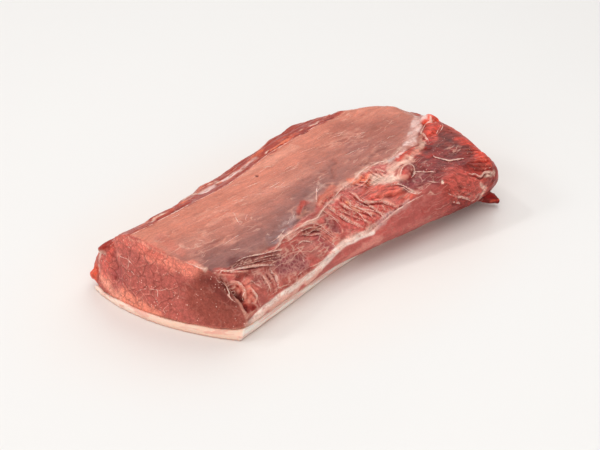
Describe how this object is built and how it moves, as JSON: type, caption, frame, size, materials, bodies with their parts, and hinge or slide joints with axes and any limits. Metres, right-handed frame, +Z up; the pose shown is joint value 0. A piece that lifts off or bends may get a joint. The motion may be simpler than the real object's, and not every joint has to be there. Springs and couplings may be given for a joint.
{
  "type": "boneless pork loin",
  "caption": "Trimmed boneless pork loin, raw, with a slanted cut face, a torn rib side and a thin fat cap under the lean meat.",
  "frame": {"origin": "on the board, under the centre of the bounding box", "axes": "+X along the loin from the butcher's cut face to the sirloin end, +Y from the torn rib side to the chain side, +Z up from the fat cap to the smooth top face"},
  "size_m": [0.2896, 0.149, 0.0502],
  "materials": {
    "lean": "moist raw lean pork with marbling, silverskin and connective tissue",
    "fat": "soft, slightly greasy white and pale pink back fat"
  },
  "bodies": {
    "root": {"lean_loin": "lean", "fat_cap": "fat"}
  },
  "joints": []
}
